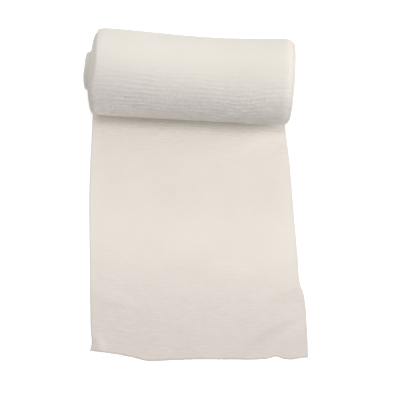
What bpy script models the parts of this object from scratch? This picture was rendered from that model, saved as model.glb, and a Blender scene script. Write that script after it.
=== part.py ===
"""Gauze bandage roll, opened: the wound roll, and its loose end lying flat in front of it.

The roll lies along X and the loose end comes out from under it towards -Y. Everything rests
on the plane z = 0, and the origin is the middle of the flat on which the roll stands.
The tables are in millimetres and the model is in metres.
"""

import math

import bmesh
import bpy

MM = 0.001

# ---- Driving sizes, in millimetres ----

ROLL_HALF_WIDTH = 49.6  # the outer turns: 101.6 mm cloth, drawn in a little by winding
RADIUS_LEFT = 21.95
RADIUS_RIGHT = 21.65
WAIST = 0.7  # how much smaller the radius is at the waist
BOW_FORWARD = 0.45  # how far the axis bows towards the loose end there
WAIST_SKEW = 0.6  # how far the waist lies to the right of the middle
FLAT_DEPTH = 0.6  # how far the roll has settled into its flat spot

CORE_RADIUS = 10.1  # the inner turns that have slipped along the axis
CORE_SLIP_OUT = 4.7  # they stand out of the left end by this much
CORE_SLIP_IN = 3.6  # and lie back in the right end by this much
CORE_EDGE = 1.1  # rounding of their outer end
CONE_SLIP = 1.3  # the turns between them and the shoulder slip this much, little by little

SHEET_THICKNESS = 1.0  # the gauze and the crimp that keeps it off the surface
PIECE_GAP = 0.35

# The rounded shoulders at the roll's ends: how far they reach along the axis and inwards.
SHOULDERS = {
    # end:   along, inwards
    "left": (4.2, 3.4),
    "right": (3.6, 3.6),
}

# The loose end's two long edges. It runs askew to +X, and is a little uneven in width.
LONG_EDGES = [
    # y,      left x, right x
    (0.0, -53.8, 47.2),
    (-16.0, -52.5, 49.4),
    (-25.0, -51.8, 50.7),
    (-33.5, -51.2, 51.8),
    (-60.5, -48.9, 54.5),
    (-85.0, -45.8, 57.0),
    (-99.5, -43.9, 58.6),
    (-104.6, -43.3, 60.2),
    (-110.0, -42.6, 61.2),
    (-118.0, -41.5, 61.8),
    (-128.0, -40.1, 62.5),
    (-134.8, -38.9, 62.8),
    (-137.7, -39.4, 62.9),
]

# The cut end, from its left corner (across = 0) to its right corner (across = 1).
CUT_END = [
    # across, y
    (0.00, -137.6),
    (0.05, -137.9),
    (0.12, -138.4),
    (0.20, -139.4),
    (0.27, -140.6),
    (0.30, -140.45),
    (0.38, -139.5),
    (0.50, -138.3),
    (0.65, -137.35),
    (0.78, -136.4),
    (0.82, -135.7),
    (0.853, -134.6),
    (0.885, -135.45),
    (0.93, -135.5),
    (0.963, -134.7),
    (1.00, -134.1),
]

# Low soft ridges where the cloth doesn't lie quite flat.
RIDGES = [
    # x,     y,     heading in degrees, half length, half width, height
    (48.5, -124.5, 30.0, 21.0, 5.0, 1.1),
    (58.4, -104.6, 15.0, 13.0, 4.5, 0.9),
    (-35.5, -134.5, 120.0, 9.0, 3.5, 0.5),
    (-29.5, -113.0, -8.0, 15.0, 5.0, 0.5),
    (12.4, -92.8, 5.0, 26.0, 5.5, 0.5),
]

ROLL_STEPS = 64
SIDE_STEPS = 18
SHOULDER_STEPS = 5
CORE_EDGE_STEPS = 3
SHEET_COLUMNS = 28
SHEET_ROWS = 40
SMOOTH_UNDER = 40.0  # edges sharper than this many degrees stay sharp

WOUND_GAUZE_COLOR = (0.80, 0.77, 0.72, 1.0)
LOOSE_GAUZE_COLOR = (0.82, 0.79, 0.74, 1.0)
GAUZE_ROUGHNESS = 0.95


# ---- Scene ----


def clear_scene():
    for old in list(bpy.data.objects):
        bpy.data.objects.remove(old, do_unlink=True)


def new_collection(name):
    collection = bpy.data.collections.new(name)
    bpy.context.scene.collection.children.link(collection)
    return collection


def new_object(name, mesh, collection):
    obj = bpy.data.objects.new(name, mesh)
    collection.objects.link(obj)
    return obj


def cloth_material(name, color):
    material = bpy.data.materials.new(name)
    material.use_nodes = True
    shader = material.node_tree.nodes["Principled BSDF"]
    shader.inputs["Base Color"].default_value = color
    shader.inputs["Roughness"].default_value = GAUZE_ROUGHNESS
    shader.inputs["Metallic"].default_value = 0.0
    return material


# ---- Small sums ----


def read_table(table, where, column):
    """A column's value at a place along the table's first column, in straight steps."""
    rows = sorted(table)
    where = min(max(where, rows[0][0]), rows[-1][0])
    for low, high in zip(rows, rows[1:]):
        if where <= high[0]:
            share = (where - low[0]) / (high[0] - low[0])
            return low[column] + (high[column] - low[column]) * share
    return rows[-1][column]


def along_roll(x):
    """-1 at the roll's left end, 0 in its middle and 1 at its right end."""
    return min(max(x / ROLL_HALF_WIDTH, -1.0), 1.0)


def waist_share(place):
    """How much of the waist there is at a place along the roll: 0 at its ends, about 1 at most."""
    return (1.0 - place * place) ** 2 * (1.0 + WAIST_SKEW * place)


def roll_radius(x):
    place = along_roll(x)
    straight = RADIUS_LEFT + (RADIUS_RIGHT - RADIUS_LEFT) * (place + 1.0) / 2.0
    return straight - WAIST * waist_share(place)


def roll_axis(x):
    """The axis's place, as y and z: low enough everywhere for the same depth of flat spot."""
    return -BOW_FORWARD * waist_share(along_roll(x)), roll_radius(x) - FLAT_DEPTH


# ---- The wound roll ----


def shoulder_arc(end):
    """A quarter ellipse from the side of the roll round to its end, as (x, radius) pairs."""
    side = -1.0 if end == "left" else 1.0
    along, inwards = SHOULDERS[end]
    start = side * (ROLL_HALF_WIDTH - along)
    outer = roll_radius(start)
    points = []
    for step in range(SHOULDER_STEPS + 1):
        angle = math.pi / 2.0 * step / SHOULDER_STEPS
        points.append((
            start + side * along * math.sin(angle),
            outer - inwards * (1.0 - math.cos(angle)),
        ))
    return points


def core_edge_arc(end_x):
    """The rounded rim of the inner turns that stand out, from its flat end to its side."""
    points = []
    for step in range(CORE_EDGE_STEPS + 1):
        angle = math.pi / 2.0 * step / CORE_EDGE_STEPS
        points.append((
            end_x + CORE_EDGE * (1.0 - math.cos(angle)),
            CORE_RADIUS - CORE_EDGE * (1.0 - math.sin(angle)),
        ))
    return points


def roll_profile():
    """Half the roll's outline as (x, radius) pairs, from the left end's middle to the right's."""
    left_face = -ROLL_HALF_WIDTH
    right_face = ROLL_HALF_WIDTH
    core_left = left_face - CORE_SLIP_OUT
    core_right = right_face - CORE_SLIP_IN
    left_shoulder = shoulder_arc("left")[::-1]
    right_shoulder = shoulder_arc("right")

    profile = [(core_left, 0.0)]
    profile += core_edge_arc(core_left)
    profile.append((left_face - CONE_SLIP, CORE_RADIUS))
    profile += left_shoulder
    first = left_shoulder[-1][0]
    last = right_shoulder[0][0]
    for step in range(1, SIDE_STEPS):
        x = first + (last - first) * step / SIDE_STEPS
        profile.append((x, roll_radius(x)))
    profile += right_shoulder
    profile.append((right_face - CONE_SLIP, CORE_RADIUS))
    profile.append((core_right, CORE_RADIUS - CORE_EDGE / 2.0))
    profile.append((core_right, 0.0))
    return profile


def profile_mesh(name, profile):
    mesh = bpy.data.meshes.new(name)
    points = [(x * MM, 0.0, radius * MM) for x, radius in profile]
    edges = [(i, i + 1) for i in range(len(points) - 1)]
    mesh.from_pydata(points, edges, [])
    return mesh


def evaluated_mesh(obj):
    depsgraph = bpy.context.evaluated_depsgraph_get()
    return bpy.data.meshes.new_from_object(obj.evaluated_get(depsgraph))


def turn_profile(name, profile, collection):
    """The mesh that the profile sweeps round the X axis."""
    turned = new_object(name, profile_mesh(name, profile), collection)
    screw = turned.modifiers.new("turn", "SCREW")
    screw.axis = "X"
    screw.angle = math.tau
    screw.steps = ROLL_STEPS
    screw.render_steps = ROLL_STEPS
    screw.use_merge_vertices = True
    screw.merge_threshold = 0.00001
    mesh = evaluated_mesh(turned)
    bpy.data.objects.remove(turned, do_unlink=True)
    return mesh


def settle_on_surface(mesh):
    """Moves each section of the turned form to where the sagging, bowed axis runs."""
    for vertex in mesh.vertices:
        y, z = roll_axis(vertex.co.x / MM)
        vertex.co.y += y * MM
        vertex.co.z += z * MM


def flat_spot_cutter(collection):
    """A block, longer and wider than the roll, whose top is the plane that the roll rests on."""
    length = 3.0 * ROLL_HALF_WIDTH * MM
    width = 3.0 * RADIUS_LEFT * MM
    depth = RADIUS_LEFT * MM
    bm = bmesh.new()
    bmesh.ops.create_cube(bm, size=1.0)
    bmesh.ops.scale(bm, vec=(length, width, depth), verts=bm.verts)
    bmesh.ops.translate(bm, vec=(0.0, 0.0, -depth / 2.0), verts=bm.verts)
    mesh = bpy.data.meshes.new("surface_plane")
    bm.to_mesh(mesh)
    bm.free()
    cutter = new_object("surface_plane", mesh, collection)
    cutter.hide_render = True
    cutter.display_type = "WIRE"
    return cutter


def make_wound_roll(parts, cutters):
    mesh = turn_profile("wound_roll", roll_profile(), parts)
    settle_on_surface(mesh)
    roll = new_object("wound_roll", mesh, parts)
    flat = roll.modifiers.new("flat_spot", "BOOLEAN")
    flat.operation = "DIFFERENCE"
    flat.solver = "EXACT"
    flat.object = flat_spot_cutter(cutters)
    roll.data.materials.clear()
    roll.data.materials.append(cloth_material("wound_gauze", WOUND_GAUZE_COLOR))
    roll.data.shade_smooth()
    roll.data.set_sharp_from_angle(angle=math.radians(SMOOTH_UNDER))


# ---- The loose end ----


def tucked_edge(x):
    """The y at which the sheet's back edge stops, just clear of the roll above it."""
    axis_y, axis_z = roll_axis(x)
    reach = roll_radius(x) + PIECE_GAP
    return axis_y - math.sqrt(reach * reach - (axis_z - SHEET_THICKNESS) ** 2)


def ridge_height(x, y):
    height = 0.0
    for ridge_x, ridge_y, heading, half_length, half_width, top in RIDGES:
        turn = math.radians(heading)
        along = (x - ridge_x) * math.cos(turn) + (y - ridge_y) * math.sin(turn)
        across = (y - ridge_y) * math.cos(turn) - (x - ridge_x) * math.sin(turn)
        reach = math.hypot(along / half_length, across / half_width)
        if reach < 1.0:
            height += top * (0.5 + 0.5 * math.cos(math.pi * reach))
    return height


def sheet_point(across, down):
    """A point of the sheet's underside: across from left to right, down from roll to cut end."""
    _, back_left, back_right = LONG_EDGES[0]
    back = tucked_edge(back_left + (back_right - back_left) * across)
    front = read_table(CUT_END, across, 1)
    y = back + (front - back) * down
    left = read_table(LONG_EDGES, y, 1)
    right = read_table(LONG_EDGES, y, 2)
    x = left + (right - left) * across
    return x, y, ridge_height(x, y)


def sheet_mesh(name):
    bm = bmesh.new()
    grid = []
    for row in range(SHEET_ROWS + 1):
        line = []
        for column in range(SHEET_COLUMNS + 1):
            x, y, z = sheet_point(column / SHEET_COLUMNS, row / SHEET_ROWS)
            line.append(bm.verts.new((x * MM, y * MM, z * MM)))
        grid.append(line)
    for upper, lower in zip(grid, grid[1:]):
        for column in range(SHEET_COLUMNS):
            bm.faces.new((
                upper[column], lower[column], lower[column + 1], upper[column + 1],
            ))
    mesh = bpy.data.meshes.new(name)
    bm.to_mesh(mesh)
    bm.free()
    return mesh


def make_loose_end(parts):
    sheet = new_object("loose_end", sheet_mesh("loose_end"), parts)
    thickness = sheet.modifiers.new("thickness", "SOLIDIFY")
    thickness.thickness = SHEET_THICKNESS * MM
    thickness.offset = 1.0
    sheet.data.materials.append(cloth_material("loose_gauze", LOOSE_GAUZE_COLOR))


def main():
    clear_scene()
    parts = new_collection("gauze_bandage_roll")
    cutters = new_collection("cutters")
    make_wound_roll(parts, cutters)
    make_loose_end(parts)


main()
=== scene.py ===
"""Looks of the opened gauze bandage roll.

One long strip of crimped gauze: its loose end lies flat in front of the roll, and the rest is
wound into about fifty turns. The strip is made as three pieces that meet under the roll, where
nothing shows: the loose end, the outermost turn and the turns inside it. Every size is in
millimetres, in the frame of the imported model, and MM turns it into metres.
"""

import math

import bpy
import numpy as np
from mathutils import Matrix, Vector, noise


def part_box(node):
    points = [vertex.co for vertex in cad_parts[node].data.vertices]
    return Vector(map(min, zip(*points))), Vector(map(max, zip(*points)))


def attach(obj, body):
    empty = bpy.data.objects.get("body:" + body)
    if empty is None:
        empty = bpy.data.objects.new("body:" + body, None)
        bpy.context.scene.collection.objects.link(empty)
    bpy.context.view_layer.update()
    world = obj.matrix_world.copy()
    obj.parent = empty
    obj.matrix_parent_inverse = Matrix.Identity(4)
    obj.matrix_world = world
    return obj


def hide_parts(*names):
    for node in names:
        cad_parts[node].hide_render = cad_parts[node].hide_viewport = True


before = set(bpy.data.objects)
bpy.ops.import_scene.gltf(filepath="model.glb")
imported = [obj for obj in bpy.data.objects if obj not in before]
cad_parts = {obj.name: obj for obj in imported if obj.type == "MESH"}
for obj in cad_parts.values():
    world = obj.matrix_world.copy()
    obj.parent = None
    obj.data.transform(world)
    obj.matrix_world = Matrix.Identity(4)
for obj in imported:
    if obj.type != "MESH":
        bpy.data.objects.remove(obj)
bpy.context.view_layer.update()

MM = 0.001

# ---- Driving sizes, in millimetres ----

_, roll_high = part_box("wound_roll")
ROLL_HALF_WIDTH = roll_high[0] / MM  # the outer turns, drawn in a little by winding
CUT_WIDTH = 101.6  # the strip as it was cut
RADIUS_LEFT = 21.95
RADIUS_RIGHT = 21.65
WAIST = 0.7  # how much smaller the radius is at the waist
BOW_FORWARD = 0.45  # how far the axis bows towards the loose end there
WAIST_SKEW = 0.6  # how far the waist lies to the right of the middle
FLAT_DEPTH = 0.6  # how far the roll has settled into its flat spot

CLOTH_THICKNESS = 0.27
TURN_PITCH = 0.398  # from one turn to the next: the cloth and the air in its crimp
START_RADII = (RADIUS_LEFT + TURN_PITCH / 2.0, RADIUS_RIGHT + TURN_PITCH / 2.0)
MEAN_RADIUS = (sum(START_RADII) - CLOTH_THICKNESS) / 2.0  # of the cloth where winding ends
LAST_TURN = 50.4
OUTER_TURNS = 1.2  # the turns that are made finely, because their whole width shows

# Each piece's grid: how many steps in a turn, how many columns across, and how much the columns
# crowd towards the edges (1 for not at all). The loose end's is rows and columns.
OUTER_GRID = (324, 76, 1.0)
INNER_GRID = (48, 13, 3.0)
LOOSE_GRID = (330, 92)

# How far out each turn's edges lie. Counted inwards, they move from START_EDGES by each row's
# two distances, beginning at that turn and over that many more turns.
START_EDGES = (-46.1, 48.6)
EDGE_STEPS = [
    # turn, over, left,  right
    (0.95, 0.15, -2.0, 0.3),  # the outermost turn's own edges
    (1.1, 3.0, -1.5, 0.8),  # the rounded shoulders
    (5.0, 17.0, -1.2, -1.2),  # turns that have slipped to the left, little by little
    (23.6, 1.0, -0.4, -0.4),
    (28.6, 0.8, -1.7, -1.0),  # the inner turns, which stand out of the left end
    (30.8, 0.7, -1.2, -0.9),
    (38.0, 1.2, -0.2, -0.3),
]
SHOULDER_ALONG = 4.6  # the shoulders begin this far inside the ends
SHOULDER_CURVE = 0.062  # the drop at a distance d past their start is SHOULDER_CURVE * d * d
SHOULDER_TURNS = 30.0  # the drop fades out over this many turns
SHAPED_FROM = (0.0, 0.12)  # turns from the underside over which the shoulders set in

# The turns stray a little along the axis, and in width.
STRAY_FROM = (0.7, 2.0)  # over these turns it sets in
STRAY = 1.1
STRAY_SCALE = 0.9  # how quickly it changes from turn to turn
WIDTH_STRAY = 0.5
WIDTH_STRAY_SCALE = 1.3
WIDTH_STRAY_ROW = 7.0  # the row of the noise that it is read from

# Where each turn rests, it is pressed flat.
FLAT_FADES = 4.0  # how quickly the flat gets shallower towards the inner turns
FLAT_SOFTNESS = 0.3  # how softly it runs into the round
LEAST_DOWNWARDS = 0.05  # keeps the flat's radius finite on the upper half
PRESSED = (0.97, 0.85)  # cosines of the angle from straight down, where the crimp sets in

# Low on the front, every turn's left edge lies further out, and the outermost one's most.
LEAN_START = (0.54, 0.66)  # shares of a turn from the underside
LEAN_END = (0.86, 1.0)
LEAN_OUTER = 2.4
LEAN_INNER = 0.5
LEAN_TURNS = (1.0, 4.5)  # it goes from the one to the other over these turns

# The cloth is taut over the top of the roll. At its back and its front it is slack, so that its
# texture stands up more.
# Painted shade greys it low on the front and at the back, and fades again towards the underside.
# Each row gives the shares of a turn over which that grows, those over which it fades again, and
# the amount.
SLACK_TOP = 0.15
SLACK_AROUND = [
    ((0.0, 0.12), (0.24, 0.42), 0.7),
    ((0.53, 0.77), (0.88, 1.0), 2.5),
]
SLACK_TURNS = (1.2, 1.7)  # over these turns, counted inwards, the difference fades
INNER_SHARE = 0.2  # down to this share of it
# Painted shade on the wound turns, in rows of the same kind.
PAINTED_SHADE_TOP = 0.1
PAINTED_SHADE_AROUND = [
    ((0.0, 0.12), (0.24, 0.42), 0.45),
    ((0.53, 0.72), (0.70, 0.86), 0.97),
]
PAINTED_SHADE_TURNS = (1.3, 3.0)  # likewise
PAINTED_SHADE_LATER = 0.05  # how much later it starts to grow at the right end than in the middle

# Under the roll the outermost turn is as wide as the loose end and in line with it.
LOOSE_EDGES = (-53.8, 47.2)
SETTLING_TURNS = 0.62  # from there it takes this much of a turn to lie in line with the others

# The crimp: ridges across the cloth, with their wandering and bowing counted in ridges. A noise's
# scale is per millimetre.
CRIMP_SPACING_WOUND = 2.4  # pulled apart by winding
CRIMP_SPACING_LOOSE = 2.0  # and nearer together where the cloth has relaxed
CRIMP_REGULARITY_WOUND = 1.0
CRIMP_REGULARITY_LOOSE = 0.4
CRIMP_HEIGHT_WOUND = 0.085
CRIMP_HEIGHT_LOOSE = 0.07
SLOW_WANDER = 2.4
SLOW_WANDER_SCALE = 0.03
QUICK_WANDER = 0.5
QUICK_WANDER_SCALE = 0.2
BOW = 0.8
BOW_ACROSS = (24.0, 49.0)  # from the middle, towards the right edge
PATCH_SCALE = 0.16  # the crimp is stronger in some patches and weaker in others
PATCH_DRAWN_OUT = 0.5  # a scale across the cloth, as a share of that along it
PATCH_CONTRAST = 3.0
CRIMP_STRENGTH = 0.75  # on average
CRIMP_STRENGTH_RANGE = (0.1, 1.4)  # at least and at most
ODD_RIDGES = 2.0  # ridges of uneven height among the regular ones
ODD_RIDGE_SCALE = 0.6
ODD_RIDGE_DRAWN_OUT = 0.2

UNEVENNESS_WOUND = 0.25
UNEVEN_SCALE_WOUND = 0.035
UNEVENNESS_LOOSE = 0.9
UNEVEN_SCALE_LOOSE = 0.03
SEED_WOUND = 3.0
SEED_LOOSE = 11.0
WARP_PITCH = 1.0  # between the yarns that run lengthwise
WEFT_PITCH = 0.57  # between the yarns that run crosswise

# The loose end's two long edges. It runs askew to +X, and is a little uneven in width.
LONG_EDGES = [
    # y,      left x, right x
    (0.0, -53.8, 47.2),
    (-16.0, -52.5, 49.4),
    (-25.0, -51.8, 50.7),
    (-33.5, -51.2, 51.8),
    (-60.5, -48.9, 54.5),
    (-85.0, -45.8, 57.0),
    (-99.5, -43.9, 58.6),
    (-104.6, -43.3, 60.2),
    (-110.0, -42.6, 61.2),
    (-118.0, -41.5, 61.8),
    (-128.0, -40.1, 62.5),
    (-134.8, -38.9, 62.8),
    (-137.7, -39.4, 62.9),
]

# The cut end, from its left corner (across = 0) to its right corner (across = 1).
CUT_END = [
    # across, y
    (0.00, -137.60),
    (0.05, -137.90),
    (0.12, -138.40),
    (0.20, -139.40),
    (0.27, -140.60),
    (0.30, -140.45),
    (0.38, -139.50),
    (0.50, -138.30),
    (0.65, -137.35),
    (0.78, -136.40),
    (0.82, -135.70),
    (0.853, -134.60),
    (0.885, -135.45),
    (0.93, -135.50),
    (0.963, -134.70),
    (1.00, -134.10),
]
YARN_STEP = 0.16  # from yarn to yarn along the cut end
YARN_STEP_ROW = 5.0  # the row of the noise that the steps are read from
LOOSE_LENGTH = 138.0  # from under the roll to the cut end, on average
LIFTED_FROM = (2.0, 8.0)  # along it, where it comes free of the roll's weight

# How slack the loose end is: most near the roll, and more again near the cut end.
LOOSE_SLACK_NEAR = 1.35
LOOSE_SLACK_MIDDLE = 0.3
LOOSE_SLACK_FALLS = (15.0, 42.0)
LOOSE_SLACK_CUT_END = 0.5
LOOSE_SLACK_RISES = (80.0, 120.0)

# Low soft ridges where the loose end doesn't lie quite flat.
RIDGES = [
    # x,     y,     heading in degrees, half length, half width, height
    (48.5, -124.5, 30.0, 21.0, 5.0, 1.1),
    (58.4, -104.6, 15.0, 13.0, 4.5, 0.9),
    (-35.5, -134.5, 120.0, 9.0, 3.5, 0.5),
    (-29.5, -113.0, -8.0, 15.0, 5.0, 0.5),
    (12.4, -92.8, 5.0, 26.0, 5.5, 0.5),
]

CLOTH_MAP = "OFBake"  # the UV map that follows the cloth: across it, then along it

# ---- Camera ----

PICTURE_SIDE = 400  # pixels
FOCAL_PIXELS = 760.0
SENSOR_WIDTH = 36.0
CAMERA_PLACE = (16.45, -200.79, 357.0)
CAMERA_TILT = 21.8  # degrees up from straight down
CAMERA_TURN = 3.73  # degrees about the vertical
CAMERA_NEAREST = 10.0

# ---- Looks and light ----

SHARP_OVER = 50.0  # degrees
WOUND_BASE_COLOR = (0.757, 0.726, 0.676)  # of the wound turns, before any painted shade
PAINTED_SHADE_COLOR = (0.611, 0.585, 0.565)  # painted shade that greys the wound turns low on the front and at the back
LOOSE_COLOR = (0.766, 0.731, 0.684)  # of the loose end near the roll
CUT_END_SHADED_COLOR = (0.631, 0.586, 0.553)  # and at its cut end, darker with painted shade
SHADE_TOWARDS_CUT = (70.0, 138.0)  # along the loose end, where the painted shade grows in

# The weave. Its noises' scales are per millimetre.
YARN_HEIGHT = 0.65  # on average
YARN_OVER = 0.35  # how much higher a yarn is where it passes over another
WARP_WANDER = 0.9
WARP_WANDER_SCALE = 0.15
WEFT_WANDER = 1.2
WEFT_WANDER_SCALE = 0.2
MEAN_YARN = 0.4  # the height that leaves the colour as it is
OPEN_PATCH_SCALE = 0.12  # the weave is more open in some patches than in others
OPEN_PATCH_CONTRAST = 4.0
OPEN_PATCH_MEAN = 0.6
WEAVE_LOOSE = 0.03  # how much the weave shows in the colour
WEAVE_WOUND = 0.09
RIDGE_SHADE = 0.03  # painted shade in the crimp: how much lighter its crests are, and darker its valleys
SLUBS = 0.15  # thick places in the crosswise yarns
SLUB_SCALE = 1.3
SLUB_DRAWN_OUT = 0.2
STRANDS_LOOSE = 0.03  # uneven lengthwise yarns
STRANDS_WOUND = 0.11
STRAND_SCALE = 1.1
STRAND_DRAWN_OUT = 0.3  # a scale along the cloth, as a share of that across it
BUNCHES = 0.05  # where yarns lie closer together
BUNCH_SCALE = 0.45
BUNCH_DRAWN_OUT = 0.7
MOTTLING = 0.05
MOTTLING_SCALE = 0.06
BUMP_STRENGTH = 0.6
BUMP_DEPTH = 0.15
# Heights in the bump, counted in that depth.
YARN_BUMP = 0.25
GRAIN_BUMP = 15.0
EDGE_BUMP = 0.3

# Painted shade along the cut edges: under them where they lift off the floor, and between the
# turns' edges at the roll's ends. For each piece: how far inside the edge that begins, and by how
# much.
EDGE_DARKEST = 0.2  # how far inside it is darkest
OUTER_EDGE_SHADE = (1.0, 0.07)
INNER_EDGE_SHADE = (3.5, 0.13)
LOOSE_EDGE_SHADE = (1.0, 0.22)
LOOSE_EDGE_LEFT = 0.6  # a share of that for the left long edge
LOOSE_EDGE_RIGHT = 0.2  # and for the right one
CUT_EDGE_WIDTH = 0.9

CLOTH_ROUGHNESS = 0.95
CLOTH_SHINE = 0.25
CLOTH_SHEEN = 0.1
CLOTH_SHEEN_ROUGHNESS = 0.5
FLOOR_COLOR = (0.93, 0.93, 0.93, 1.0)
FLOOR_SIDE = 1500.0
FLOOR_GAP = 0.05  # between it and the cloth, so that the two never coincide
FLOOR_GLOW = 0.3  # its own light, which keeps it pale
SKY_COLOR = (1.0, 0.99, 0.975, 1.0)
SKY = 0.1  # the light from all round
BACKDROP = 0.8  # how bright the studio looks past the floor's far edge
FRONT_LIGHT = (1.0, 0.98, 0.965)
BACK_LIGHT = (0.99, 1.0, 0.95)
LIGHTS = [  # soft disks that face the roll
    # name, x, y, z, width, watts, colour
    ("front", 0.0, -401.0, 861.0, 700.0, 4.6, FRONT_LIGHT),
    ("top", 0.0, -132.0, 941.0, 280.0, 1.1, FRONT_LIGHT),
    ("right_low", 893.0, 0.0, 325.0, 700.0, 5.0, FRONT_LIGHT),
    ("right_high", 672.0, 0.0, 672.0, 700.0, 1.4, FRONT_LIGHT),
    ("left_low", -893.0, 0.0, 325.0, 700.0, 0.5, FRONT_LIGHT),
    ("back", 0.0, 861.0, 401.0, 700.0, 2.2, BACK_LIGHT),
    ("back_high", 0.0, 611.0, 728.0, 700.0, 0.5, BACK_LIGHT),
    ("back_left", -494.0, 705.0, 401.0, 700.0, 1.0, BACK_LIGHT),
]


def add_object(name, data):
    obj = bpy.data.objects.new(name, data)
    bpy.context.scene.collection.objects.link(obj)
    return obj


def make_camera():
    camera = add_object("camera", bpy.data.cameras.new("camera"))
    camera.data.sensor_width = SENSOR_WIDTH
    camera.data.lens = FOCAL_PIXELS * SENSOR_WIDTH / PICTURE_SIDE
    camera.data.clip_start = CAMERA_NEAREST * MM
    camera.location = [place * MM for place in CAMERA_PLACE]
    camera.rotation_euler = (math.radians(CAMERA_TILT), 0.0, math.radians(CAMERA_TURN))
    bpy.context.scene.camera = camera


# ---- Node trees ----


class Value:
    """A socket's value. A sum on it adds Math nodes to its tree."""

    def __init__(self, tree, socket):
        self.tree = tree
        self.socket = socket

    def __add__(self, other):
        return self.tree.math("ADD", self, other)

    __radd__ = __add__

    def __sub__(self, other):
        return self.tree.math("SUBTRACT", self, other)

    def __rsub__(self, other):
        return self.tree.math("SUBTRACT", other, self)

    def __mul__(self, other):
        return self.tree.math("MULTIPLY", self, other)

    __rmul__ = __mul__

    def __truediv__(self, other):
        return self.tree.math("DIVIDE", self, other)

    def __pow__(self, other):
        return self.tree.math("POWER", self, other)


class NodeTree:
    """Adds nodes to a shader or geometry tree."""

    def __init__(self, tree):
        self.tree = tree

    def node(self, kind, settings=(), sockets=()):
        """A new node. Its settings are set first, then its sockets' values and links."""
        node = self.tree.nodes.new(kind)
        for name, setting in dict(settings).items():
            setattr(node, name, setting)
        for name, value in dict(sockets).items():
            self.feed(node.inputs[name], value)
        return node

    def feed(self, socket, value):
        if isinstance(value, Value):
            self.tree.links.new(value.socket, socket)
        else:
            socket.default_value = value

    def value(self, kind, settings=(), sockets=(), output=0):
        return Value(self, self.node(kind, settings, sockets).outputs[output])

    def math(self, operation, *terms):
        return self.value("ShaderNodeMath", {"operation": operation}, enumerate(terms))

    def clamp(self, value, low=0.0, high=1.0):
        return self.value("ShaderNodeClamp", (), {"Value": value, "Min": low, "Max": high})

    def ramp(self, value, start, end, low=0.0, high=1.0):
        """Goes smoothly from low to high as value goes from start to end."""
        return self.value(
            "ShaderNodeMapRange",
            {"interpolation_type": "SMOOTHSTEP"},
            {"Value": value, "From Min": start, "From Max": end, "To Min": low, "To Max": high},
        )

    def wave(self, turns):
        """A cosine wave from -1 to 1, with one crest for each whole turn."""
        return self.math("COSINE", turns * math.tau)

    def vector(self, x=0.0, y=0.0, z=0.0):
        return self.value("ShaderNodeCombineXYZ", (), {"X": x, "Y": y, "Z": z})

    def split(self, vector):
        node = self.node("ShaderNodeSeparateXYZ", (), {"Vector": vector})
        return [Value(self, socket) for socket in node.outputs]

    def noise(self, place, scale, detail=2.0):
        """Soft noise about 0, mostly between -0.3 and 0.3."""
        sockets = {"Vector": place, "Scale": scale, "Detail": detail}
        return self.value("ShaderNodeTexNoise", (), sockets) - 0.5

    def kept(self, name):
        """In a material, a number that a geometry tree has kept on the mesh."""
        settings = {"attribute_name": name}
        return self.value("ShaderNodeAttribute", settings, (), output=2)

    def tint(self, color, factor):
        """A colour times a factor."""
        return self.value(
            "ShaderNodeVectorMath", {"operation": "SCALE"}, {0: color, "Scale": factor}
        )

    def blend(self, factor, first, second):
        """The first colour where the factor is 0, and the second where it is 1."""
        # The colour sockets share their names with others of the node, so they go by number.
        sockets = {0: factor, 6: (*first, 1.0), 7: (*second, 1.0)}
        return self.value("ShaderNodeMix", {"data_type": "RGBA"}, sockets, output=2)


SOCKET_KINDS = {
    "number": "NodeSocketFloat",
    "count": "NodeSocketInt",
    "geometry": "NodeSocketGeometry",
    "material": "NodeSocketMaterial",
}


def new_geometry_tree(name, inputs, outputs):
    """A geometry tree with named inputs and outputs: the tree, its inputs' values and its end."""
    group = bpy.data.node_groups.new(name, "GeometryNodeTree")
    for direction, sockets in (("INPUT", inputs), ("OUTPUT", outputs)):
        for label, kind in sockets.items():
            group.interface.new_socket(
                name=label, in_out=direction, socket_type=SOCKET_KINDS[kind]
            )
    tree = NodeTree(group)
    start = tree.node("NodeGroupInput")
    given = {label: Value(tree, start.outputs[label]) for label in inputs}
    return tree, given, tree.node("NodeGroupOutput")


def store(tree, geometry, name, value, data_type="FLOAT", domain="POINT"):
    """Keeps a value on the mesh, for its material to read."""
    return tree.value(
        "GeometryNodeStoreNamedAttribute",
        {"data_type": data_type, "domain": domain},
        {"Geometry": geometry, "Name": name, "Value": value},
    )


def end_tree(tree, end, geometry, material):
    real = tree.value("GeometryNodeRealizeInstances", (), {"Geometry": geometry})
    done = tree.value("GeometryNodeSetMaterial", (), {"Geometry": real, "Material": material})
    tree.feed(end.inputs["Geometry"], done)


def grow_mesh(obj, group, values, thickness=0.0):
    """Runs a geometry tree on an object, thickens it, and keeps the result as its plain mesh."""
    modifier = obj.modifiers.new("grow", "NODES")
    modifier.node_group = group
    for socket in group.interface.items_tree:
        if socket.in_out == "INPUT" and socket.name in values:
            modifier[socket.identifier] = values[socket.name]
    if thickness:
        wall = obj.modifiers.new("thickness", "SOLIDIFY")
        wall.thickness = thickness * MM
        wall.offset = 0.0
    depsgraph = bpy.context.evaluated_depsgraph_get()
    mesh = bpy.data.meshes.new_from_object(obj.evaluated_get(depsgraph))
    obj.modifiers.clear()
    obj.data = mesh
    mesh.name = obj.name
    mesh.shade_smooth()
    mesh.set_sharp_from_angle(angle=math.radians(SHARP_OVER))


# ---- The crimp that makes the gauze stretch ----


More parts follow.
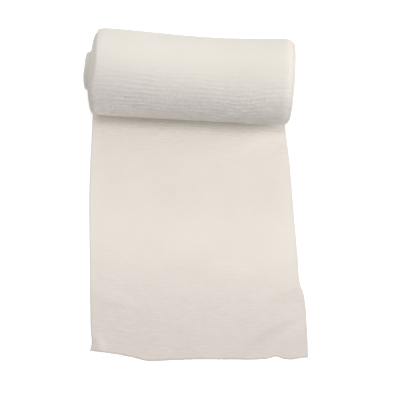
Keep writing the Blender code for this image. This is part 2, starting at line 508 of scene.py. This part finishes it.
def crimp_tree():
    """How far the crimped cloth lies off its mean surface, from its place on the strip."""
    tree, given, end = new_geometry_tree(
        "crimp",
        {
            "Across": "number",
            "Along": "number",
            "Spacing": "number",
            "Regularity": "number",
            "Height": "number",
            "Seed": "number",
        },
        {"Lift": "number", "Ridge": "number"},
    )
    across = given["Across"]
    along = given["Along"]
    spot = tree.vector(across, along, given["Seed"])
    wander = tree.noise(spot, SLOW_WANDER_SCALE) * SLOW_WANDER
    wander = wander + tree.noise(spot, QUICK_WANDER_SCALE, 1.0) * QUICK_WANDER
    bow = tree.ramp(across, *BOW_ACROSS, 0.0, BOW)
    wide_spot = tree.vector(across * PATCH_DRAWN_OUT, along, given["Seed"])
    patches = tree.noise(wide_spot, PATCH_SCALE)
    strength = tree.clamp(patches * PATCH_CONTRAST + CRIMP_STRENGTH, *CRIMP_STRENGTH_RANGE)
    strength = strength * given["Regularity"]
    ridge = tree.wave(along / given["Spacing"] + wander + bow) * strength
    long_spot = tree.vector(across * ODD_RIDGE_DRAWN_OUT, along, given["Seed"])
    ridge = ridge + tree.noise(long_spot, ODD_RIDGE_SCALE, 1.0) * ODD_RIDGES
    tree.feed(end.inputs["Ridge"], ridge)
    tree.feed(end.inputs["Lift"], ridge * given["Height"])
    return tree.tree


CRIMP_INPUTS = {
    "Crimp Spacing": "number",
    "Crimp Regularity": "number",
    "Crimp Height": "number",
    "Unevenness": "number",
    "Seed": "number",
    "Material": "material",
}


def use_crimp(tree, group, across, along, given):
    """Adds the crimp to a tree: its lift, and its ridges from about -1 to 1."""
    node = tree.node("GeometryNodeGroup", {"node_tree": group}, {
        "Across": across,
        "Along": along,
        "Spacing": given["Crimp Spacing"],
        "Regularity": given["Crimp Regularity"],
        "Height": given["Crimp Height"],
        "Seed": given["Seed"],
    })
    return Value(tree, node.outputs["Lift"]), Value(tree, node.outputs["Ridge"])


# ---- The wound turns ----


def turn_edges(tree, turn):
    """The x of a turn's left edge and of its right edge."""
    edges = []
    for side in range(2):
        edge = START_EDGES[side]
        for first, over, *steps in EDGE_STEPS:
            edge = edge + tree.ramp(turn, first, first + over, 0.0, steps[side])
        to_loose_end = LOOSE_EDGES[side] - START_EDGES[side]
        edges.append(edge + tree.ramp(turn, 0.0, SETTLING_TURNS, to_loose_end, 0.0))
    return edges


def turn_lean(tree, share):
    """From 0 to 1: where, low on the front, a turn's left edge lies further out."""
    return tree.ramp(share, *LEAN_START) - tree.ramp(share, *LEAN_END)


def amount_around(tree, turn, share, top, rows, fading_turns):
    """The amount at the top of the roll, and what each row adds to it elsewhere."""
    outermost = tree.ramp(turn, *fading_turns, 1.0, INNER_SHARE)
    total = top
    for grows, fades, amount in rows:
        rise = tree.ramp(share, *grows) - tree.ramp(share, *fades)
        total = rise * outermost * amount + total
    return total


def wound_cloth_tree(crimp):
    """Winds a flat grid of cloth into turns, counted inwards from the roll's underside."""
    sizes = (
        "First Turn", "Last Turn", "Crowding", "Radius Left", "Radius Right", "Waist",
        "Turn Pitch", "Cloth Thickness", "Flat Depth",
    )
    inputs = {"Rows": "count", "Columns": "count", **dict.fromkeys(sizes, "number")}
    tree, given, end = new_geometry_tree(
        "wound_cloth", {**inputs, **CRIMP_INPUTS}, {"Geometry": "geometry"}
    )
    grid = tree.value("GeometryNodeMeshGrid", (), {
        "Size X": 2.0,
        "Size Y": 1.0,
        "Vertices X": given["Columns"],
        "Vertices Y": given["Rows"],
    })
    flat_x, flat_y, _ = tree.split(tree.value("GeometryNodeInputPosition"))
    first = given["First Turn"]
    last = given["Last Turn"]
    pitch = given["Turn Pitch"]
    thickness = given["Cloth Thickness"]
    seed = given["Seed"]

    # Across the cloth from -1 to 1, with the columns crowded towards its edges.
    inside = 1.0 - tree.math("ABSOLUTE", flat_x)
    across = tree.math("SIGN", flat_x) * (1.0 - inside ** given["Crowding"])
    turn = first + (last - first) * (flat_y + 0.5)
    mean_radius = (given["Radius Left"] + given["Radius Right"] - thickness) / 2.0

    def length_at(some_turn):
        return some_turn * (mean_radius - some_turn * pitch / 2.0) * math.tau

    along = length_at(turn)

    # Along the axis: each turn lies a little to one side of the last.
    left, right = turn_edges(tree, turn)
    share_of_turn = tree.math("FRACT", turn)
    lean = turn_lean(tree, share_of_turn)
    left = left - lean * tree.ramp(turn, *LEAN_TURNS, LEAN_OUTER, LEAN_INNER)
    wound = tree.ramp(turn, *STRAY_FROM)
    stray = tree.noise(tree.vector(turn, 0.0, seed), STRAY_SCALE, 1.0) * STRAY * wound
    widths = tree.noise(tree.vector(turn, WIDTH_STRAY_ROW, seed), WIDTH_STRAY_SCALE, 1.0)
    width_stray = widths * WIDTH_STRAY * wound * across
    x = left + (right - left) * (across * 0.5 + 0.5) + stray + width_stray

    # The radius: the roll's waist and shoulders, and a soft unevenness.
    place = tree.clamp(x / ROLL_HALF_WIDTH, -1.0, 1.0)
    sag = (1.0 - place * place) ** 2.0 * (place * WAIST_SKEW + 1.0)
    widening = given["Radius Right"] - given["Radius Left"]
    outer = given["Radius Left"] + widening * (place * 0.5 + 0.5) - given["Waist"] * sag
    share = 1.0 - turn * pitch / mean_radius
    in_shoulder = tree.math("ABSOLUTE", x) - (ROLL_HALF_WIDTH - SHOULDER_ALONG)
    in_shoulder = tree.math("MAXIMUM", in_shoulder, 0.0)
    fade = tree.clamp(1.0 - turn / SHOULDER_TURNS) * tree.ramp(turn, *SHAPED_FROM)
    fade = fade * (1.0 - lean * tree.clamp(place * -1.0))
    drop = in_shoulder * in_shoulder * SHOULDER_CURVE * fade
    uneven = tree.noise(tree.vector(x, along, seed), UNEVEN_SCALE_WOUND)
    uneven = uneven * given["Unevenness"] * tree.ramp(turn, *SHAPED_FROM)
    round_radius = (outer - thickness / 2.0) * share - drop + uneven

    # Each turn is flattened where it rests, the outer ones most.
    angle = turn * math.tau
    downwards = tree.math("COSINE", angle)
    settled = given["Flat Depth"] * share ** FLAT_FADES
    flat_radius = (round_radius - settled) / tree.math("MAXIMUM", downwards, LEAST_DOWNWARDS)
    resting = tree.math("SMOOTH_MIN", round_radius, flat_radius, FLAT_SOFTNESS)

    # The cloth is drawn smooth over the top, and its crimp stands up lower down.
    slack = amount_around(tree, turn, share_of_turn, SLACK_TOP, SLACK_AROUND, SLACK_TURNS)
    # Painted shade greys it low on the front and at the back, starting a little later towards the
    # right end.
    later = place * share_of_turn * PAINTED_SHADE_LATER
    painted_shade = amount_around(tree, turn, share_of_turn - later, PAINTED_SHADE_TOP, PAINTED_SHADE_AROUND, PAINTED_SHADE_TURNS)
    lift, ridge = use_crimp(tree, crimp, across * (CUT_WIDTH / 2.0), along, given)
    radius = resting + lift * slack * tree.ramp(downwards, *PRESSED)
    y = radius * tree.math("SINE", angle) - sag * BOW_FORWARD
    z = outer - given["Flat Depth"] - radius * downwards

    cloth = store(tree, grid, "ridge", ridge)
    cloth = store(tree, cloth, "slack", slack)
    # Kept for the material's painted shade.
    cloth = store(tree, cloth, "painted_shade", painted_shade)
    map_v = (along - length_at(first)) / (length_at(last) - length_at(first))
    map_place = tree.vector(across * 0.5 + 0.5, map_v)
    cloth = store(tree, cloth, CLOTH_MAP, map_place, "FLOAT2", "CORNER")
    wound_up = tree.value("GeometryNodeSetPosition", (), {
        "Geometry": cloth,
        "Position": tree.vector(x * MM, y * MM, z * MM),
    })
    end_tree(tree, end, wound_up, given["Material"])
    return tree.tree


def strip_length(turn):
    """The length of cloth between the start of the outermost turn and another turn."""
    return math.tau * turn * (MEAN_RADIUS - turn * TURN_PITCH / 2.0)


def make_turns(name, group, first, last, grid, material):
    """Some of the wound turns as one piece."""
    steps, columns, crowding = grid
    turns = add_object(name, bpy.data.meshes.new(name))
    values = {
        "First Turn": first,
        "Last Turn": last,
        "Rows": round((last - first) * steps) + 1,
        "Columns": columns,
        "Crowding": crowding,
        "Radius Left": START_RADII[0],
        "Radius Right": START_RADII[1],
        "Waist": WAIST,
        "Turn Pitch": TURN_PITCH,
        "Cloth Thickness": CLOTH_THICKNESS,
        "Flat Depth": FLAT_DEPTH,
        "Crimp Spacing": CRIMP_SPACING_WOUND,
        "Crimp Regularity": CRIMP_REGULARITY_WOUND,
        "Crimp Height": CRIMP_HEIGHT_WOUND,
        "Unevenness": UNEVENNESS_WOUND,
        "Seed": SEED_WOUND,
        "Material": material,
    }
    grow_mesh(turns, group, values, CLOTH_THICKNESS)
    return turns


# ---- The loose end ----


def smooth_table(table, where, column):
    """A column's values at places along the table's first column, on a smooth curve."""
    rows = np.array(sorted(table))
    places, values = rows[:, 0], rows[:, column]
    slopes = np.gradient(values, places)
    where = np.clip(where, places[0], places[-1])
    index = np.clip(np.searchsorted(places, where) - 1, 0, len(places) - 2)
    gap = places[index + 1] - places[index]
    share = (where - places[index]) / gap
    start, finish = values[index], values[index + 1]
    bend = share * (1.0 - share)
    into = slopes[index] * gap - (finish - start)
    out = slopes[index + 1] * gap - (finish - start)
    return start + (finish - start) * share + bend * ((1.0 - share) * into - share * out)


def ridge_height(x, y):
    height = np.zeros_like(x)
    for ridge_x, ridge_y, heading, half_length, half_width, top in RIDGES:
        turn = math.radians(heading)
        along = (x - ridge_x) * math.cos(turn) + (y - ridge_y) * math.sin(turn)
        across = (y - ridge_y) * math.cos(turn) - (x - ridge_x) * math.sin(turn)
        reach = np.minimum(np.hypot(along / half_length, across / half_width), 1.0)
        height += top * (0.5 + 0.5 * np.cos(math.pi * reach))
    return height


def cut_line(across):
    """The y of the cut end: its outline, and the small steps from yarn to yarn."""
    yarns = across * CUT_WIDTH / WARP_PITCH
    steps = [YARN_STEP * noise.noise(Vector((yarn, 0.0, YARN_STEP_ROW))) for yarn in yarns]
    return smooth_table(CUT_END, across, 1) + np.array(steps)


def loose_outline(rows, columns):
    """The loose end's flat shape, as rows of x and y from under the roll to the cut end."""
    across, down = np.meshgrid(np.linspace(0.0, 1.0, columns), np.linspace(0.0, 1.0, rows))
    near_x = LOOSE_EDGES[0] + (LOOSE_EDGES[1] - LOOSE_EDGES[0]) * across
    place = np.clip(near_x / ROLL_HALF_WIDTH, -1.0, 1.0)
    back = -BOW_FORWARD * (1.0 - place * place) ** 2 * (1.0 + WAIST_SKEW * place)
    front = cut_line(across[0])
    y = back + (front - back) * down
    left = smooth_table(LONG_EDGES, y, 1)
    right = smooth_table(LONG_EDGES, y, 2)
    return across, down, left + (right - left) * across, y


def flat_grid_mesh(name, rows, columns):
    across, down, x, y = loose_outline(rows, columns)
    z = ridge_height(x, y)
    points = np.stack([x, y, z], axis=-1).reshape(-1, 3) * MM
    numbers = np.arange(rows * columns).reshape(rows, columns)
    corners = [numbers[:-1, :-1], numbers[1:, :-1], numbers[1:, 1:], numbers[:-1, 1:]]
    faces = np.stack(corners, axis=-1).reshape(-1, 4)
    mesh = bpy.data.meshes.new(name)
    mesh.from_pydata(points.tolist(), [], faces.tolist())
    cloth_map = mesh.uv_layers.new(name=CLOTH_MAP)
    places = np.stack([across, down], axis=-1).reshape(-1, 2)
    cloth_map.uv.foreach_set("vector", places[faces.ravel()].ravel())
    return mesh


def loose_cloth_tree(crimp):
    """Lifts a flat piece of cloth off the surface by its crimp and its unevenness."""
    inputs = {"Geometry": "geometry", "Cloth Thickness": "number", "Length": "number"}
    tree, given, end = new_geometry_tree(
        "loose_cloth", {**inputs, **CRIMP_INPUTS}, {"Geometry": "geometry"}
    )
    place_on_map = tree.value(
        "GeometryNodeInputNamedAttribute", {"data_type": "FLOAT_VECTOR"}, {"Name": CLOTH_MAP}
    )
    map_u, map_v, _ = tree.split(place_on_map)
    along = map_v * given["Length"]
    lift, ridge = use_crimp(tree, crimp, (map_u - 0.5) * CUT_WIDTH, along, given)
    clear = tree.ramp(along, *LIFTED_FROM)
    spot = tree.vector(map_u * CUT_WIDTH, along, given["Seed"])
    uneven = tree.noise(spot, UNEVEN_SCALE_LOOSE) * given["Unevenness"]
    uneven = tree.math("MAXIMUM", uneven, 0.0)
    slack = tree.ramp(along, *LOOSE_SLACK_FALLS, LOOSE_SLACK_NEAR, LOOSE_SLACK_MIDDLE)
    slack = slack + tree.ramp(along, *LOOSE_SLACK_RISES, 0.0, LOOSE_SLACK_CUT_END)
    lift = (lift + given["Crimp Height"]) * slack
    rise = given["Cloth Thickness"] / 2.0 + (lift + uneven) * clear
    cloth = store(tree, given["Geometry"], "ridge", ridge)
    cloth = store(tree, cloth, "slack", slack)
    lifted = tree.value("GeometryNodeSetPosition", (), {
        "Geometry": cloth,
        "Offset": tree.vector(0.0, 0.0, rise * MM),
    })
    end_tree(tree, end, lifted, given["Material"])
    return tree.tree


def make_loose_end(crimp, material):
    loose = add_object("loose_end_cloth", flat_grid_mesh("loose_end_cloth", *LOOSE_GRID))
    values = {
        "Cloth Thickness": CLOTH_THICKNESS,
        "Length": LOOSE_LENGTH,
        "Crimp Spacing": CRIMP_SPACING_LOOSE,
        "Crimp Regularity": CRIMP_REGULARITY_LOOSE,
        "Crimp Height": CRIMP_HEIGHT_LOOSE,
        "Unevenness": UNEVENNESS_LOOSE,
        "Seed": SEED_LOOSE,
        "Material": material,
    }
    grow_mesh(loose, loose_cloth_tree(crimp), values, CLOTH_THICKNESS)
    return loose


# ---- Gauze ----


def gauze_material(name, length, edge_shading, is_loose=False):
    """Matt crimped gauze on the cloth's own map: its yarns and mottling, and painted shade between
    its ridges, along its edges, low on the wound turns and towards the loose end's cut end.
    """
    material = bpy.data.materials.new(name)
    material.use_nodes = True
    material.node_tree.nodes.clear()
    tree = NodeTree(material.node_tree)
    map_u, map_v, _ = tree.split(tree.value("ShaderNodeUVMap", {"uv_map": CLOTH_MAP}))
    ridge = tree.kept("ridge")
    slack = tree.kept("slack")
    across = map_u * CUT_WIDTH
    along = map_v * length
    spot = tree.vector(across, along)

    # A plain weave: each yarn is highest where it passes over the other.
    warp_count = across / WARP_PITCH + tree.noise(spot, WARP_WANDER_SCALE) * WARP_WANDER
    weft_count = along / WEFT_PITCH + tree.noise(spot, WEFT_WANDER_SCALE) * WEFT_WANDER
    over = tree.wave(warp_count / 2.0) * tree.wave(weft_count / 2.0) * YARN_OVER
    warp = (tree.wave(warp_count) * 0.5 + 0.5) * (YARN_HEIGHT + over)
    weft = (tree.wave(weft_count) * 0.5 + 0.5) * (YARN_HEIGHT - over)
    yarn = tree.math("MAXIMUM", warp, weft)

    # Yarns that are thicker or bunched here and there. It all shows more where the cloth is slack.
    slubs = tree.noise(tree.vector(across * SLUB_DRAWN_OUT, along), SLUB_SCALE)
    strands = tree.noise(tree.vector(across, along * STRAND_DRAWN_OUT), STRAND_SCALE)
    bunches = tree.noise(tree.vector(across * BUNCH_DRAWN_OUT, along), BUNCH_SCALE)
    strand_share = STRANDS_LOOSE if is_loose else STRANDS_WOUND
    grain = slubs * SLUBS + strands * strand_share + bunches * BUNCHES
    open_patches = tree.noise(spot, OPEN_PATCH_SCALE) * OPEN_PATCH_CONTRAST + OPEN_PATCH_MEAN
    open_weave = tree.clamp(open_patches) * (WEAVE_LOOSE if is_loose else WEAVE_WOUND)
    # The weave and grain, with painted shade in the crimp's valleys.
    fine = (yarn - MEAN_YARN) * open_weave + ridge * RIDGE_SHADE + grain

    # The cut edges, with painted shade along them.
    edge_width, painted_edge_shade = edge_shading
    to_edge = tree.math("MINIMUM", map_u, 1.0 - map_u) * CUT_WIDTH
    edge = tree.ramp(to_edge, edge_width, EDGE_DARKEST)
    if is_loose:
        long_edges = edge * (map_u * (LOOSE_EDGE_RIGHT - LOOSE_EDGE_LEFT) + LOOSE_EDGE_LEFT)
        cut_edge = tree.ramp(length - along, CUT_EDGE_WIDTH, EDGE_DARKEST)
        edge = tree.math("MAXIMUM", long_edges, cut_edge)
        # Painted shade: the loose end gets darker towards its cut end.
        color = tree.blend(tree.ramp(along, *SHADE_TOWARDS_CUT), LOOSE_COLOR, CUT_END_SHADED_COLOR)
    else:
        # Painted shade on the wound turns: their base colour blended towards a greyer one.
        color = tree.blend(tree.clamp(tree.kept("painted_shade")), WOUND_BASE_COLOR, PAINTED_SHADE_COLOR)

    mottling = tree.noise(spot, MOTTLING_SCALE) * MOTTLING
    # The painted shade along the edges is taken off here.
    shade = 1.0 + fine * slack + mottling - edge * painted_edge_shade
    bump = tree.value("ShaderNodeBump", (), {
        "Strength": BUMP_STRENGTH,
        "Distance": BUMP_DEPTH * MM,
        "Height": (yarn * YARN_BUMP + grain * GRAIN_BUMP) * slack + edge * EDGE_BUMP,
    })
    shader = tree.value("ShaderNodeBsdfPrincipled", (), {
        "Base Color": tree.tint(color, shade),
        "Roughness": CLOTH_ROUGHNESS,
        "Specular IOR Level": CLOTH_SHINE,
        "Sheen Weight": CLOTH_SHEEN,
        "Sheen Roughness": CLOTH_SHEEN_ROUGHNESS,
        "Normal": bump,
    })
    end = tree.node("ShaderNodeOutputMaterial")
    tree.feed(end.inputs["Surface"], shader)
    return material


# ---- Floor and light ----


def make_floor():
    mesh = bpy.data.meshes.new("floor")
    half = FLOOR_SIDE / 2.0
    corners = [(-half, -half), (half, -half), (half, half), (-half, half)]
    points = [(x * MM, y * MM, -FLOOR_GAP * MM) for x, y in corners]
    mesh.from_pydata(points, [], [(0, 1, 2, 3)])
    floor = add_object("floor", mesh)
    material = bpy.data.materials.new("pale_floor")
    material.use_nodes = True
    shader = material.node_tree.nodes["Principled BSDF"]
    shader.inputs["Base Color"].default_value = FLOOR_COLOR
    shader.inputs["Roughness"].default_value = 1.0
    shader.inputs["Specular IOR Level"].default_value = 0.0
    shader.inputs["Emission Color"].default_value = (1.0, 1.0, 1.0, 1.0)
    shader.inputs["Emission Strength"].default_value = FLOOR_GLOW
    mesh.materials.append(material)


def make_light():
    world = bpy.data.worlds.new("studio")
    world.use_nodes = True
    tree = NodeTree(world.node_tree)
    background = world.node_tree.nodes["Background"]
    background.inputs["Color"].default_value = SKY_COLOR
    seen = tree.value("ShaderNodeLightPath")
    tree.feed(background.inputs["Strength"], seen * (BACKDROP - SKY) + SKY)
    bpy.context.scene.world = world
    for name, x, y, z, width, watts, color in LIGHTS:
        light = add_object(name, bpy.data.lights.new(name, "AREA"))
        light.data.shape = "DISK"
        light.data.size = width * MM
        light.data.energy = watts
        light.data.color = color
        place = Vector((x, y, z))
        light.location = place * MM
        light.rotation_euler = place.to_track_quat("Z", "Y").to_euler()
    bpy.context.scene.view_settings.view_transform = "Standard"


# ---- All of it ----


def main():
    make_camera()
    make_light()
    make_floor()
    crimp = crimp_tree()
    wound_cloth = wound_cloth_tree(crimp)
    outer_length = strip_length(OUTER_TURNS)
    inner_length = strip_length(LAST_TURN) - outer_length
    loose_gauze = gauze_material("loose_gauze", LOOSE_LENGTH, LOOSE_EDGE_SHADE, is_loose=True)
    outer_gauze = gauze_material("outer_gauze", outer_length, OUTER_EDGE_SHADE)
    inner_gauze = gauze_material("inner_gauze", inner_length, INNER_EDGE_SHADE)

    loose = make_loose_end(crimp, loose_gauze)
    outer = make_turns("outer_turns", wound_cloth, 0.0, OUTER_TURNS, OUTER_GRID, outer_gauze)
    inner = make_turns(
        "inner_turns", wound_cloth, OUTER_TURNS, LAST_TURN, INNER_GRID, inner_gauze
    )
    for piece, node, length, held, under in (
        (loose, "loose_end", LOOSE_LENGTH, "laid", ()),
        (outer, "wound_roll", outer_length, "folded", ("loose_end_cloth",)),
        (inner, "wound_roll", inner_length, "folded", ("outer_turns",)),
    ):
        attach(piece, "root")
        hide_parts(node)
        length * MM


main()
